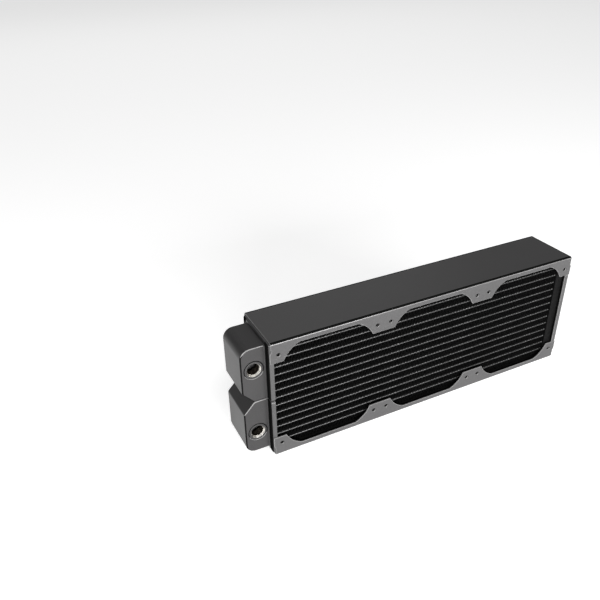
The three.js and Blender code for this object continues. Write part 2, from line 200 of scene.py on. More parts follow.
class RadiatorStage(bpy.types.PropertyGroup):
    """Camera, floor and lights."""

    camera: FloatVectorProperty(name="Camera", description="Where the camera stands",
                                default=(-0.36143, -0.47490, 0.46236), subtype="XYZ", unit="LENGTH")
    aim: FloatVectorProperty(name="Aim", description="What the camera points at",
                             default=(-0.14976, -0.03120, 0.17039), subtype="XYZ", unit="LENGTH")
    roll: FloatProperty(name="Roll", description="Tilt of the camera about its line of sight",
                        default=math.radians(-1.355), subtype="ANGLE")
    lens: FloatProperty(name="Lens", description="Focal length on a 36 mm wide sensor",
                        default=39.27, min=1.0)
    floor: colour("Floor", "Pale floor", (0.92, 0.92, 0.92))
    key: FloatProperty(name="Key", description="Power of the low soft light in front", default=78.0)
    glint: FloatProperty(name="Glint", description="Power of the light that the ports mirror", default=3.5)
    rim: FloatProperty(name="Rim", description="Power of the light that picks out edges", default=3.0)
    back: FloatProperty(name="Back", description="Power of the soft light behind", default=7.0)
    sky: FloatProperty(name="Sky", description="Brightness all round", default=0.2)
    glow: FloatProperty(name="Floor Glow", description="Light given off by the floor", default=0.6)


# ---------------------------------------------------------------- node graphs


class Flow:
    """A value in a node graph. Arithmetic on it adds the Math nodes."""

    def __init__(self, graph, socket):
        self.graph = graph
        self.socket = socket

    def math(self, operation, *values, clamp=False):
        inputs = dict(enumerate(values))
        return self.graph.add("ShaderNodeMath", {"operation": operation, "use_clamp": clamp}, inputs)

    def __add__(self, other):
        return self.math("ADD", self, other)

    def __sub__(self, other):
        return self.math("SUBTRACT", self, other)

    def __rsub__(self, other):
        return self.math("SUBTRACT", other, self)

    def __mul__(self, other):
        return self.math("MULTIPLY", self, other)

    def __truediv__(self, other):
        return self.math("DIVIDE", self, other)

    def __rtruediv__(self, other):
        return self.math("DIVIDE", other, self)

    def __pow__(self, other):
        return self.math("POWER", self, other)

    def clamped(self):
        return self.math("ADD", self, 0.0, clamp=True)

    def over(self, threshold, softness):
        """0 below the threshold, 1 from softness above it."""
        return ((self - threshold) / softness).clamped()

    __radd__ = __add__
    __rmul__ = __mul__


class Graph:
    """A node tree that nodes are added to by type, settings and inputs."""

    def __init__(self, tree):
        self.tree = tree
        tree.nodes.clear()

    def add(self, kind, settings=None, inputs=None, output=0):
        node = self.tree.nodes.new(kind)
        for name, value in (settings or {}).items():
            if name == "stops":
                ramp = node.color_ramp
                while len(ramp.elements) < len(value):
                    ramp.elements.new(0.5)
                for element, (position, shade) in zip(ramp.elements, value):
                    element.position = position
                    element.color = (shade, shade, shade, 1.0)
            else:
                setattr(node, name, value)
        for key, value in (inputs or {}).items():
            socket = node.inputs[key]
            if isinstance(value, Flow):
                self.tree.links.new(value.socket, socket)
            else:
                socket.default_value = value
        if output is None:
            return node
        return Flow(self, node.outputs[output])

    def mix(self, factor, first, second):
        """A colour between two, by a factor from 0 to 1."""
        node = self.add("ShaderNodeMix", {"data_type": "RGBA"}, output=None)
        for index, value in ((0, factor), (6, first), (7, second)):
            if isinstance(value, Flow):
                self.tree.links.new(value.socket, node.inputs[index])
            elif index:
                node.inputs[index].default_value = (*value, 1.0)
            else:
                node.inputs[index].default_value = value
        return Flow(self, node.outputs[2])

    def noise(self, where, scale, detail=2.0, roughness=0.5):
        return self.add("ShaderNodeTexNoise", {}, {"Vector": where, "Scale": scale, "Detail": detail,
                                                   "Roughness": roughness}, "Fac")


def tint(shade, factor):
    return tuple(min(1.0, part * factor) for part in shade)


def start_material(name):
    """A new material's graph, its shader node and the Object coordinates."""
    material = bpy.data.materials.new(name)
    material.use_nodes = True
    graph = Graph(material.node_tree)
    shader = graph.add("ShaderNodeBsdfPrincipled", output=None)
    graph.add("ShaderNodeOutputMaterial", {}, {"Surface": Flow(graph, shader.outputs[0])}, None)
    return material, graph, shader, graph.add("ShaderNodeTexCoord", output="Object")


def join_up(graph, shader, **flows):
    names = {"base": "Base Color", "roughness": "Roughness", "metallic": "Metallic", "normal": "Normal"}
    for name, flow in flows.items():
        graph.tree.links.new(flow.socket, shader.inputs[names[name]])


def bump(graph, height, strength, distance):
    return graph.add("ShaderNodeBump", {}, {"Height": height, "Strength": strength,
                                            "Distance": distance}, "Normal")


def powder_coat(name, shade, roughness, grain, pebble, gloss=0.5):
    """Sprayed and baked paint: an orange-peel skin, faint clouds in its sheen and a few light specks."""
    material, graph, shader, where = start_material(name)
    clouds = graph.noise(where, 22.0, 3.0)
    skin = graph.noise(where, grain, 3.0, 0.62)
    fine = graph.noise(where, grain * 3.1, 2.0, 0.6)
    specks = graph.noise(where, grain * 1.7, 1.0).over(0.73, 0.05)
    shade_map = graph.mix((clouds - 0.3) * 0.8, tint(shade, 0.88), tint(shade, 1.12))
    shade_map = graph.mix(skin.over(0.42, 0.3) * 0.35, shade_map, tint(shade, 1.35))
    shade_map = graph.mix(specks * 0.5, shade_map, tint(shade, 3.2))
    sheen = roughness + (clouds - 0.5) * 0.12 + (fine - 0.5) * 0.16
    join_up(graph, shader, base=shade_map, roughness=sheen.clamped(),
            normal=bump(graph, skin + fine * 0.4, pebble, 0.12 * MM))
    shader.inputs["Specular IOR Level"].default_value = gloss
    return material


def core_paint(name, shade, roughness, gloss=0.5):
    """Thin paint over solder: streaks along the tubes, dull patches and dust."""
    material, graph, shader, where = start_material(name)
    stretched = graph.add("ShaderNodeMapping", {}, {"Vector": where, "Scale": (0.35, 1.0, 1.0)}, 0)
    runs = graph.noise(stretched, 620.0, 3.0, 0.65)
    dust = graph.noise(where, 1900.0, 2.0).over(0.62, 0.12)
    shade_map = graph.mix(runs.over(0.35, 0.4), tint(shade, 0.55), tint(shade, 1.45))
    shade_map = graph.mix(dust * 0.35, shade_map, tint(shade, 2.6))
    join_up(graph, shader, base=shade_map, roughness=(roughness + (runs - 0.5) * 0.3).clamped(),
            normal=bump(graph, runs, 0.35, 0.15 * MM))
    shader.inputs["Specular IOR Level"].default_value = gloss
    return material


def turned_metal(name, shade, axes):
    """Machined metal with fine rings round each collar's axis and faint stains."""
    material, graph, shader, where = start_material(name)
    parts = graph.add("ShaderNodeSeparateXYZ", {}, {"Vector": where}, None)
    across, up = Flow(graph, parts.outputs["X"]), Flow(graph, parts.outputs["Z"])
    radius = None
    for x, z in axes:
        squares = (across - x) ** 2.0 + (up - z) ** 2.0
        here = squares.math("SQRT", squares)
        radius = here if radius is None else radius.math("MINIMUM", radius, here)
    rings = radius.math("SINE", radius * (2 * math.pi / (0.22 * MM)))
    stains = graph.noise(where, 260.0, 3.0, 0.6)
    scratches = graph.noise(where, 2400.0, 2.0)
    shade_map = graph.mix(stains.over(0.45, 0.3), shade, tint(shade, 0.62))
    join_up(graph, shader, base=shade_map, roughness=(0.24 + stains * 0.18 + scratches * 0.08).clamped(),
            normal=bump(graph, rings * 0.5 + scratches * 0.4, 0.16, 0.02 * MM))
    shader.inputs["Metallic"].default_value = 1.0
    return material


def floor_finish(name, shade):
    """Matt studio board that gives off some light, with a trace of unevenness."""
    material, graph, shader, where = start_material(name)
    drift = graph.noise(where, 1.3, 2.0)
    tooth = graph.noise(where, 260.0, 2.0)
    join_up(graph, shader, base=graph.mix(drift * 0.5, shade, tint(shade, 0.985)),
            roughness=(0.78 + tooth * 0.1).clamped(), normal=bump(graph, tooth, 0.03, 0.1 * MM))
    shader.inputs["Specular IOR Level"].default_value = 0.15
    shader.inputs["Emission Color"].default_value = (*shade, 1.0)
    shader.inputs["Emission Strength"].default_value = bpy.context.scene.radiator_stage.glow
    return material


def finish(name):
    """The named finish, made the first time it is asked for."""
    if name in bpy.data.materials:
        return bpy.data.materials[name]
    shades = bpy.context.scene.radiator_finishes
    ports = [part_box("upper_port_collar"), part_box("lower_port_collar")]
    axes = [((low[0] + high[0]) / 2, (low[2] + high[2]) / 2) for low, high in ports]
    # Each finish has its maker and colour, then roughness. A powder coat also has the fineness of its
    # grain, the depth of its pebbling and its gloss, and a core paint its gloss.
    recipes = {
        "frame_powder_coat": (powder_coat, shades.frame, 0.38, 950.0, 0.2),
        # Painted highlight: the light copy of the frame paint, for edges where light catches.
        "frame_cut_edge": (powder_coat, shades.frame_highlight, 0.26, 1500.0, 0.12),
        # Painted shade: the dark paint laid where shade falls.
        "thick_dark_paint": (powder_coat, shades.shadow, 0.6, 950.0, 0.15, 0.0),
        "tank_powder_coat": (powder_coat, shades.tank, 0.36, 820.0, 0.24, 0.24),
        "tray_paint": (powder_coat, shades.tray, 0.4, 1000.0, 0.2),
        "tube_paint": (core_paint, shades.tube, 0.3),
        # Painted highlight: a brighter copy of the tube paint, for the drops on top of each tube.
        "solder_paint": (core_paint, tint(shades.tube, 2.4), 0.3),
        # Painted shade: a darker copy of the tube paint, for the tubes' lower halves and the drops under
        # them.
        "under_tube_paint": (core_paint, tint(shades.tube, 0.3), 0.4, 0.1),
        # The fins' own paint, also used as painted shade on the core's inner pieces.
        "dull_fin_paint": (core_paint, shades.fin, 0.6, 0.06),
        "bare_collar_metal": (turned_metal, shades.port, axes),
        "dark_thread_metal": (turned_metal, shades.thread, axes),
        "studio_floor": (floor_finish, bpy.context.scene.radiator_stage.floor),
    }
    maker, shade, *rest = recipes[name]
    return maker(name, tuple(shade), *rest)


# ---------------------------------------------------------------- mesh helpers


def rounded(corners, steps=8):
    """A polygon's points, with the corners (u, v, radius) rounded."""
    points = []
    for index, (u, v, radius) in enumerate(corners):
        here = Vector((u, v))
        if radius <= 0:
            points.append((u, v))
            continue
        behind = (Vector(corners[index - 1][:2]) - here).normalized()
        ahead = (Vector(corners[(index + 1) % len(corners)][:2]) - here).normalized()
        half = behind.angle(ahead) / 2
        centre = here + (behind + ahead).normalized() * (radius / math.sin(half))
        spoke = here + behind * (radius / math.tan(half)) - centre
        turn = math.copysign(math.pi - 2 * half, -behind.cross(ahead))
        for step in range(steps + 1):
            angle = turn * step / steps
            cosine, sine = math.cos(angle), math.sin(angle)
            points.append((centre.x + spoke.x * cosine - spoke.y * sine,
                           centre.y + spoke.x * sine + spoke.y * cosine))
    return points


def quarter(steps):
    """The angles of a quarter turn."""
    return [math.pi / 2 * step / steps for step in range(steps + 1)]


def rectangle(u0, u1, v0, v1, radius):
    return [(u0, v0, radius), (u1, v0, radius), (u1, v1, radius), (u0, v1, radius)]


def placed(axis, u, v, along):
    """A point of an outline that lies across the named axis."""
    return {"X": (along, u, v), "Y": (u, along, v), "Z": (u, v, along)}[axis]


def prism(outline, axis, start, end):
    """A closed solid between two places along an axis."""
    bm = bmesh.new()
    near = [bm.verts.new(placed(axis, u, v, start)) for u, v in outline]
    far = [bm.verts.new(placed(axis, u, v, end)) for u, v in outline]
    bm.faces.new(near)
    bm.faces.new(far)
    for index, vert in enumerate(near):
        following = (index + 1) % len(near)
        bm.faces.new((vert, far[index], far[following], near[following]))
    bmesh.ops.recalc_face_normals(bm, faces=bm.faces)
    return bm


def block(across, up, reach):
    """A box about the plane Y = 0, between two places along X and two heights."""
    (u0, u1), (v0, v1) = sorted(across), sorted(up)
    return prism([(u0, v0), (u1, v0), (u1, v1), (u0, v1)], "Y", -reach, reach)


def loft(rings, cap_ends=False, tie=False):
    """Faces between successive rings of points. tie joins the last ring to the first."""
    bm = bmesh.new()
    rows = [[bm.verts.new(point) for point in ring] for ring in rings]
    pairs = list(zip(rows, rows[1:])) + ([(rows[-1], rows[0])] if tie else [])
    for first, second in pairs:
        count = len(first)
        for index in range(count):
            following = (index + 1) % count
            bm.faces.new((first[index], second[index], second[following], first[following]))
    if cap_ends:
        bm.faces.new(rows[0])
        bm.faces.new(rows[-1])
    bmesh.ops.recalc_face_normals(bm, faces=bm.faces)
    return bm


def turned(profile, x, z, sides):
    """A solid of revolution about a line along Y, from points (radius, y)."""
    rings = []
    for step in range(sides):
        angle = 2 * math.pi * step / sides
        rings.append([(x + r * math.cos(angle), y, z + r * math.sin(angle)) for r, y in profile])
    return loft(rings, tie=True)


def joined(*parts):
    """Several loose solids as one."""
    whole = bmesh.new()
    for part in parts:
        mesh = bpy.data.meshes.new("part")
        part.to_mesh(mesh)
        part.free()
        whole.from_mesh(mesh)
        bpy.data.meshes.remove(mesh)
    return whole


def new_object(name, bm):
    mesh = bpy.data.meshes.new(name)
    bm.to_mesh(mesh)
    bm.free()
    obj = bpy.data.objects.new(name, mesh)
    bpy.context.scene.collection.objects.link(obj)
    return obj


def settle(obj):
    """Turns an object's modifiers into plain mesh."""
    bpy.context.view_layer.update()
    evaluated = obj.evaluated_get(bpy.context.evaluated_depsgraph_get())
    mesh = bpy.data.meshes.new_from_object(evaluated)
    obj.modifiers.clear()
    obj.data = mesh
    mesh.name = obj.name


def carve(obj, cutter):
    """Cuts a solid out of an object."""
    tool = new_object("tool", cutter)
    modifier = obj.modifiers.new("Cut", "BOOLEAN")
    modifier.operation = "DIFFERENCE"
    modifier.solver = "EXACT"
    modifier.object = tool
    settle(obj)
    bpy.data.objects.remove(tool)


def dress(obj, nodes, materials, edge=0.0, smooth=35.0):
    """Softens an object's edges, gives it its finishes and hands it to the frame."""
    for name in materials:
        obj.data.materials.append(finish(name))
    if edge:
        bevel = obj.modifiers.new("Edges", "BEVEL")
        bevel.width = edge
        bevel.segments = 2
        bevel.limit_method = "ANGLE"
        bevel.angle_limit = math.radians(smooth)
        bevel.use_clamp_overlap = False
        # The new rounded edge faces take the last finish. On the panels and the bracket that is the painted
        # edge highlight.
        bevel.material = len(materials) - 1
        bevel.miter_outer = "MITER_ARC"
        settle(obj)
    for polygon in obj.data.polygons:
        polygon.use_smooth = True
    obj.data.set_sharp_from_angle(angle=math.radians(smooth))
    weighted = obj.modifiers.new("Flat Faces", "WEIGHTED_NORMAL")
    weighted.keep_sharp = True
    settle(obj)
    hand_over(obj, nodes)


def hand_over(obj, nodes):
    """Puts a finished piece in the frame, in the place of the nodes that it stands for."""
    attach(obj, "root")
    if nodes:
        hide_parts(*nodes)


# ---------------------------------------------------------------- pieces


class RADIATOR_OT_side_panels(bpy.types.Operator):
    """Fold, punch and paint the two long side panels"""

    bl_idname = "radiator.side_panels"
    bl_label = "Side Panels"

    def window(self, centre, sizes, rise):
        """Outline of the space in front of one fan, about a panel's middle height."""
        hole = sizes.spacing / 2
        foot = hole - sizes.tab_foot
        side = hole - sizes.tab_side
        strip = rise - sizes.strip
        shoulder = hole - sizes.tab_shoulder
        chord = Vector((shoulder - side, strip - foot))
        reach = math.sqrt(sizes.tab_curve ** 2 - chord.length_squared / 4)
        hub = Vector((side, foot)) + chord / 2 + Vector((-chord.y, chord.x)).normalized() * reach
        begin = math.atan2(foot - hub.y, side - hub.x)
        end = math.atan2(strip - hub.y, shoulder - hub.x)
        curve = []
        for step in range(21):
            angle = begin + (end - begin) * step / 20
            curve.append((hub.x + sizes.tab_curve * math.cos(angle),
                          hub.y + sizes.tab_curve * math.sin(angle)))
        right = [(side, 0.0)] + curve
        left = [(-u, v) for u, v in reversed(right)]
        return [(centre + u, v) for u, v in right + left]

    def execute(self, context):
        sizes = context.scene.radiator_panel_sizes
        # The panels' finishes: frame paint, painted shade and painted edge highlight.
        coat, shade_slot, highlight_slot = range(3)
        fans = [(index - 1) * sizes.fan for index in range(3)]
        wide, narrow = sizes.flare / 2, sizes.hole / 2
        mouth = wide + (wide - narrow) / sizes.flare_depth * OVERSHOOT
        for name, node, up in (("top_panel", "top_side_panel", 1),
                               ("bottom_panel", "bottom_side_panel", -1)):
            low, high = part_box(node)
            end, face = high[0], high[1]
            through = face + OVERSHOOT
            outside = heights(low, high, up)[1]
            rise = abs(outside - MIDDLE_Z)
            lip = outside - up * (rise - (sizes.spacing / 2 - sizes.tab_foot))
            inner, within = face - sizes.sheet, outside - up * sizes.sheet
            inner_bend = max(sizes.bend - sizes.sheet, 0.2 * MM)
            # Where the painted shade beside each fold begins on the outer face.
            strip = face - sizes.bend - sizes.fold_shade
            section = rounded([
                (-face, lip, 0), (-face, outside, sizes.bend), (-strip, outside, 0), (strip, outside, 0),
                (face, outside, sizes.bend), (face, lip, 0), (inner, lip, 0),
                (inner, within, inner_bend), (-inner, within, inner_bend), (-inner, lip, 0),
            ], FOLD_STEPS)
            obj = new_object(name, prism(section, "X", -end, end))
            windows = [[(u, MIDDLE_Z + up * v) for u, v in self.window(centre, sizes, rise)]
                       for centre in fans]
            carve(obj, joined(*(prism(outline, "Y", -through, through) for outline in windows)))
            spots = [(centre + side * sizes.spacing / 2, MIDDLE_Z + up * sizes.spacing / 2)
                     for centre in fans for side in SIDES]
            profile = [(AXIS_GAP, -through), (mouth, -through), (narrow, sizes.flare_depth - face),
                       (narrow, face - sizes.flare_depth), (mouth, through), (AXIS_GAP, through)]
            carve(obj, joined(*(turned(profile, x, z, HOLE_SIDES) for x, z in spots)))
            steps = [block((side * (end - sizes.end_step), side * (end + OVERSHOOT)),
                           (outside + up * OVERSHOOT, outside - up * sizes.step_rise), through)
                     for side in SIDES]
            carve(obj, joined(*steps))
            for polygon in obj.data.polygons:
                place, normal = polygon.center, polygon.normal
                upright = abs(normal.y) < 0.2
                outward = normal.z * up
                # Painted shade inside each fan hole: its walls, and its faces that don't face up, take the
                # dark paint. The rest of the pressed ring keeps the frame paint.
                if any(math.dist((place.x, place.z), spot) < wide for spot in spots):
                    polygon.material_index = shade_slot if upright or normal.z < 0.1 else coat
                # Painted highlight: the outward lower half of each long fold takes the light edge paint.
                elif 0.2 < outward < 0.5 and abs(normal.y) > 0.5:
                    polygon.material_index = highlight_slot
                # Painted shade: the upper half of each long fold, and the band beside it on the outer face,
                # take the dark paint.
                elif outward >= 0.5 and abs(place.y) > strip:
                    polygon.material_index = shade_slot
                # Painted highlight: the punched edges round each window take the light edge paint.
                elif upright and abs(place.y) > inner and abs(place.z - MIDDLE_Z) < rise - 0.5 * MM:
                    polygon.material_index = highlight_slot
            dress(obj, [node],
                  ["frame_powder_coat", "thick_dark_paint", "frame_cut_edge"], sizes.edge, 40.0)
        return {"FINISHED"}


class RADIATOR_OT_end_bracket(bpy.types.Operator):
    """Fold the bracket that closes the far end"""

    bl_idname = "radiator.end_bracket"
    bl_label = "End Bracket"

    def execute(self, context):
        sizes = context.scene.radiator_tank_sizes
        panel = context.scene.radiator_panel_sizes
        low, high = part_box("end_bracket")
        sheet = panel.sheet
        reach = panel.spacing / 2 - panel.tab_foot - 0.4 * MM
        face = high[1]
        section = rounded([
            (low[0], -face, 0), (high[0], -face, sizes.bracket_bend), (high[0], face, sizes.bracket_bend),
            (low[0], face, 0), (low[0], face - sheet, 0), (high[0] - sheet, face - sheet, 0),
            (high[0] - sheet, sheet - face, 0), (low[0], sheet - face, 0),
        ], FOLD_STEPS)
        fold = prism(section, "Z", MIDDLE_Z - reach, MIDDLE_Z + reach)
        inside = face - sheet - 0.1 * MM
        ends = [block((high[0] - sheet, high[0]), (MIDDLE_Z + up * reach, heights(low, high, up)[1]), inside)
                for up in SIDES]
        obj = new_object("end_bracket_fold", joined(fold, *ends))
        # The bracket's rounded edges take the painted edge highlight.
        dress(obj, ["end_bracket"], ["frame_powder_coat", "frame_cut_edge"],
              panel.edge, 40.0)
        return {"FINISHED"}


class RADIATOR_OT_tanks(bpy.types.Operator):
    """Form the two port tanks and weld them to their trays"""

    bl_idname = "radiator.tanks"
    bl_label = "Port Tanks"

    def outline(self, low, high, up, sizes):
        """A tank from the fan side, from the waist round the big corner."""
        seam, far = heights(low, high, up)
        left, right = low[0], high[0] + TANK_SUNK
        return rounded([
            (right, seam, 0), (left + sizes.waist_run, seam, sizes.waist_round),
            (left, seam + up * sizes.waist_rise, sizes.waist_round),
            (left, far, sizes.corner), (right, far, 0),
        ], 12)

    def shell(self, name, low, high, up, sizes):
        """The tank's outside, drawn in step by step towards front and back so that its edges are round."""
        centre = Vector(((low[0] + high[0]) / 2, (low[2] + high[2]) / 2))
        points = [Vector(point) for point in self.outline(low, high, up, sizes)]
        inward = []
        for index, point in enumerate(points):
            first = (point - points[index - 1]).normalized()
            second = (points[(index + 1) % len(points)] - point).normalized()
            normals = [Vector((-edge.y, edge.x)) for edge in (first, second)]
            normal = (normals[0] + normals[1]).normalized()
            if normal.dot(centre - point) < 0:
                normal = -normal
            inward.append(normal / max(abs(normal.dot(normals[0])), 0.4))
        rings = []
        radius = sizes.edge
        for side in SIDES:
            for angle in quarter(FOLD_STEPS)[::-side]:
                inset = radius * (1 - math.sin(angle))
                y = side * (high[1] - radius * (1 - math.cos(angle)))
                rings.append([(p.x + n.x * inset, y, p.y + n.y * inset) for p, n in zip(points, inward)])
        return new_object(name, loft(rings, cap_ends=True))

    def weld(self, low, high, up, sizes):
        """A hollow fillet from the tank's front, round its outer end, to its back."""
        wall, face = high[0], high[1]
        seam, far = heights(low, high, up)
        radius, wide = sizes.edge, sizes.weld
        straight, start, sunk = 6 * MM, 0.4 * MM, 0.3 * MM
        path = [(-face, seam + up * start, (-1.0, 0.0)), (-face, seam + up * straight, (-1.0, 0.0)),
                (-face, far - up * (radius + straight), (-1.0, 0.0))]
        for side in SIDES:
            for angle in quarter(FOLD_STEPS)[::-side]:
                y = side * (face - radius + radius * math.cos(angle))
                z = far - up * radius + up * radius * math.sin(angle)
                path.append((y, z, (side * math.cos(angle), up * math.sin(angle))))
        path += [(-y, z, (-ny, nz)) for y, z, (ny, nz) in reversed(path[:3])]
        rings = []
        for y, z, (ny, nz) in path:
            ring = [(wall + sunk, y - ny * sunk, z - nz * sunk)]
            for angle in quarter(FOLD_STEPS):
                out = wide * (1 - math.sin(angle))
                ring.append((wall - wide * (1 - math.cos(angle)), y + ny * out, z + nz * out))
            rings.append(ring)
        return loft(rings, cap_ends=True)

    def execute(self, context):
        sizes = context.scene.radiator_tank_sizes
        groove = context.scene.radiator_port_sizes.groove
        highlight_slot, shade_slot = 1, 2
        lip, recess, past = 0.35 * MM, 13 * MM, 2 * MM
        for half, up in (("upper", 1), ("lower", -1)):
            low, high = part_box(f"{half}_tank")
            obj = self.shell(f"{half}_port_tank", low, high, up, sizes)
            ring_low, ring_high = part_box(f"{half}_port_collar")
            x, z = (ring_low[0] + ring_high[0]) / 2, (ring_low[2] + ring_high[2]) / 2
            wide, front = (ring_high[0] - ring_low[0]) / 2 + groove, low[1]
            profile = [(AXIS_GAP, front - past), (wide + lip + past, front - past), (wide, front + lip),
                       (wide, front + recess), (AXIS_GAP, front + recess)]
            carve(obj, turned(profile, x, z, RECESS_SIDES))
            for polygon in obj.data.polygons:
                across, forward, upward = polygon.normal
                # Painted highlight: faces that face up and forward, along the tank's top front edge and
                # round the port's chamfer, take the light edge paint.
                if -0.8 < forward < -0.4 and upward > 0.3:
                    polygon.material_index = highlight_slot
                # Painted shade: faces that face left and forward, along the tank's left front edge and in
                # the port's chamfer, take the dark paint.
                elif -0.98 < forward < -0.2 and across < -0.3:
                    polygon.material_index = shade_slot
            dress(obj, [f"{half}_tank"],
                  ["tank_powder_coat", "frame_cut_edge", "thick_dark_paint"], smooth=32.0)
            bead = new_object(f"{half}_tank_weld", self.weld(low, high, up, sizes))
            dress(bead, [], ["tank_powder_coat"], smooth=50.0)
        return {"FINISHED"}


class RADIATOR_OT_trays(bpy.types.Operator):
    """Press the two trays that spread the flow over the tubes"""

    bl_idname = "radiator.trays"
    bl_label = "Trays"

    def execute(self, context):
        sizes = context.scene.radiator_tank_sizes
        for half in ("upper", "lower"):
            low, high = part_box(f"{half}_tray")
            radius, sheet = sizes.tray_edge, sizes.tray_sheet
            cap, outer_nip, inner_nip = radius + 3 * MM, 0.25 * MM, 0.2 * MM
            rows = [(low[0], cap)]
            rows += [(low[0] + radius * (1 - math.cos(angle)), radius * (1 - math.sin(angle)))
                     for angle in quarter(7)]
            rows += [(high[0] - outer_nip, 0.0), (high[0], outer_nip), (high[0], sheet - inner_nip),
                     (high[0] - inner_nip, sheet), (low[0] + radius, sheet), (low[0] + sheet, radius),
                     (low[0] + sheet, cap)]
            rings = []
            for x, inset in rows:
                corner = max(sizes.tray_corner - inset, 0.15 * MM)
                outline = rounded(rectangle(low[1] + inset, high[1] - inset, low[2] + inset,
                                            high[2] - inset, corner), FOLD_STEPS)
                rings.append([(x, y, z) for y, z in outline])
            bm = loft(rings, cap_ends=True)
            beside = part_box(f"{half}_tank")[1][1]
            # The walls are cut at the tank's front and back, so that the end wall beside the tank can take
            # the painted shade.
            for side in SIDES:
                bmesh.ops.bisect_plane(bm, geom=bm.verts[:] + bm.edges[:] + bm.faces[:],
                                       plane_co=(0, side * beside, 0), plane_no=(0, 1, 0))
            obj = new_object(f"{half}_flow_tray", bm)
            for polygon in obj.data.polygons:
                if abs(polygon.normal.x) < 0.6:
                    polygon.material_index = 1
                # Painted shade: the end wall in front of and behind the tank takes the dark paint.
                elif abs(polygon.center.y) > beside:
                    polygon.material_index = 2
            dress(obj, [f"{half}_tray"],
                  ["tray_paint", "frame_powder_coat", "thick_dark_paint"], smooth=40.0)
        return {"FINISHED"}


class RADIATOR_OT_port_collars(bpy.types.Operator):
    """Turn the two collars and cut their threads"""

    bl_idname = "radiator.port_collars"
    bl_label = "Port Collars"

    def execute(self, context):
        sizes = context.scene.radiator_port_sizes
        bare, dark = 1, 2
        bore, mouth, rim = sizes.bore / 2, sizes.mouth / 2, sizes.rim
        for half in ("upper", "lower"):
            low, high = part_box(f"{half}_port_collar")
            x, z = (low[0] + high[0]) / 2, (low[2] + high[2]) / 2
            outer = (high[0] - low[0]) / 2
            front, back = low[1], high[1]
            begin = front + sizes.sink
            rows = 6 * int((back - 1.2 * MM - begin) / sizes.pitch)
            rings = []
            for side in range(COLLAR_SIDES):
                share = side / COLLAR_SIDES
                angle = 2 * math.pi * share
                profile = [(bore, back), (outer, back), (outer, front + rim)]
                profile += [(outer - rim + rim * math.cos(turn), front + rim - rim * math.sin(turn))
                            for turn in quarter(4)[1:4]]
                profile += [(outer - rim, front), (mouth + 0.1 * MM, front),
                            (mouth - 0.05 * MM, front + 0.08 * MM), (bore + 0.3 * MM, begin)]
                for row in range(rows + 1):
                    y = begin + 0.15 * MM + (back - 0.6 * MM - begin) * row / rows
                    phase = ((y - begin) / sizes.pitch + share) % 1.0
                    depth = 1 - abs(2 * phase - 1)
                    fade = min(1.0, row / 5, (rows - row) / 4)
                    profile.append((bore + (sizes.root / 2 - bore) * depth * fade, y))
                rings.append([(x + r * math.cos(angle), y, z + r * math.sin(angle)) for r, y in profile])
            obj = new_object(f"{half}_threaded_collar", loft(rings, tie=True))
            for polygon in obj.data.polygons:
                radius = math.hypot(polygon.center.x - x, polygon.center.z - z)
                if radius < bore + 0.2 * MM or polygon.center.y > begin:
                    polygon.material_index = dark
                elif radius < mouth:
                    polygon.material_index = bare
            dress(obj, [f"{half}_port_collar"],
                  ["tank_powder_coat", "bare_collar_metal", "dark_thread_metal"], smooth=28.0)
        return {"FINISHED"}


def modelled(name, build, values, nodes, material):
    """A piece made by a Geometry Nodes tree, then turned into plain mesh."""
    tree = bpy.data.node_groups.new(name, "GeometryNodeTree")
    tree.is_modifier = True
    graph = Graph(tree)
    kinds = {float: "NodeSocketFloat", int: "NodeSocketInt"}
    sockets = {}
    for label, value in values.items():
        sockets[label] = tree.interface.new_socket(label, in_out="INPUT", socket_type=kinds[type(value)])
    sockets["Finish"] = tree.interface.new_socket("Finish", in_out="INPUT",
                                                  socket_type="NodeSocketMaterial")
    tree.interface.new_socket("Geometry", in_out="OUTPUT", socket_type="NodeSocketGeometry")
    entry = graph.add("NodeGroupInput", output=None)
    inputs = {label: Flow(graph, entry.outputs[label]) for label in sockets}
    whole = graph.add("GeometryNodeRealizeInstances", {}, {0: build(graph, inputs)})
    whole = graph.add("GeometryNodeSetMaterial", {}, {"Geometry": whole, "Material": inputs["Finish"]})
    graph.add("NodeGroupOutput", {}, {0: whole}, None)
    obj = new_object(name, bmesh.new())
    modifier = obj.modifiers.new("Shape", "NODES")
    modifier.node_group = tree
    for label, value in values.items():
        modifier[sockets[label].identifier] = value
    modifier[sockets["Finish"].identifier] = finish(material)
    settle(obj)
    if not obj.data.polygons:
        raise RuntimeError(f"{name} came out empty")
    hand_over(obj, nodes)


class RADIATOR_OT_tubes(bpy.types.Operator):
    """Draw the flat tubes and the blind one in the middle"""

    bl_idname = "radiator.tubes"
    bl_label = "Flat Tubes"

    def execute(self, context):
        sizes = context.scene.radiator_core_sizes
        parts = []
        for node in TUBES:
            low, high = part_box(node)
            half = (high[2] - low[2]) / 2
            middle = (low[2] + high[2]) / 2
            outline = []
            for side in SIDES:
                for step in range(13):
                    angle = math.pi * (step / 12 - 0.5)
                    reach = high[1] - sizes.nose * (1 - math.cos(angle))
                    outline.append((side * reach, middle + side * half * math.sin(angle)))
            parts.append(prism(outline, "X", low[0], high[0]))
        obj = new_object("flat_tubes", joined(*parts))
        # Painted shade: all but the upper half of each tube's rounded nose takes the darker copy of the tube
        # paint, so that only that half reads as lit.
        for polygon in obj.data.polygons:
            if not 0.0 < polygon.normal.z < 0.7:
                polygon.material_index = 1
        dress(obj, TUBES, ["tube_paint", "under_tube_paint"], smooth=40.0)
        return {"FINISHED"}


